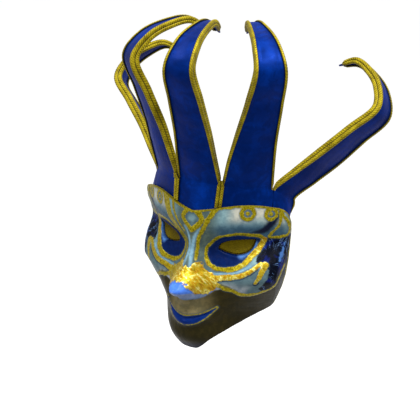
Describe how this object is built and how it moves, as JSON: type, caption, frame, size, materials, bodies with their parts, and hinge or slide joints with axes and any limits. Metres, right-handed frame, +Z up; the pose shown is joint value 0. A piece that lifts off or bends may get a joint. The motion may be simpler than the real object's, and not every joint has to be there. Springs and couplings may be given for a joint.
{
  "type": "jester mask",
  "caption": "Carnival jester mask: hard face shell with flared brow crest and long nose, under an open velvet cap of curling horns edged in gold braid.",
  "frame": {"origin": "middle of the face's rear rim at the height of the eyes, where the mask sits against the wearer's head", "axes": "+Z up, -Y the way the face looks, +X the wearer's left"},
  "size_m": [0.3248, 0.1974, 0.3423],
  "materials": {
    "painted_shell": "hand-painted and varnished papier-mache, blue, pearl and gilt",
    "eye_screen": "gold gauze",
    "velvet": "royal blue velvet, padded",
    "gold_braid": "woven metallic gold braid"
  },
  "bodies": {
    "root": {"face_shell": "painted_shell", "eye_screen_left": "eye_screen", "eye_screen_right": "eye_screen", "horn_centre": "velvet", "horn_inner_left": "velvet", "horn_inner_right": "velvet", "horn_outer_left": "velvet", "horn_outer_right": "velvet", "braid_centre_left": "gold_braid", "braid_centre_right": "gold_braid", "braid_inner_near_left": "gold_braid", "braid_inner_near_right": "gold_braid", "braid_inner_far_left": "gold_braid", "braid_inner_far_right": "gold_braid", "braid_outer_near_left": "gold_braid", "braid_outer_near_right": "gold_braid", "braid_outer_far_left": "gold_braid", "braid_outer_far_right": "gold_braid", "seam_braid_left": "gold_braid", "seam_braid_right": "gold_braid"}
  },
  "joints": []
}
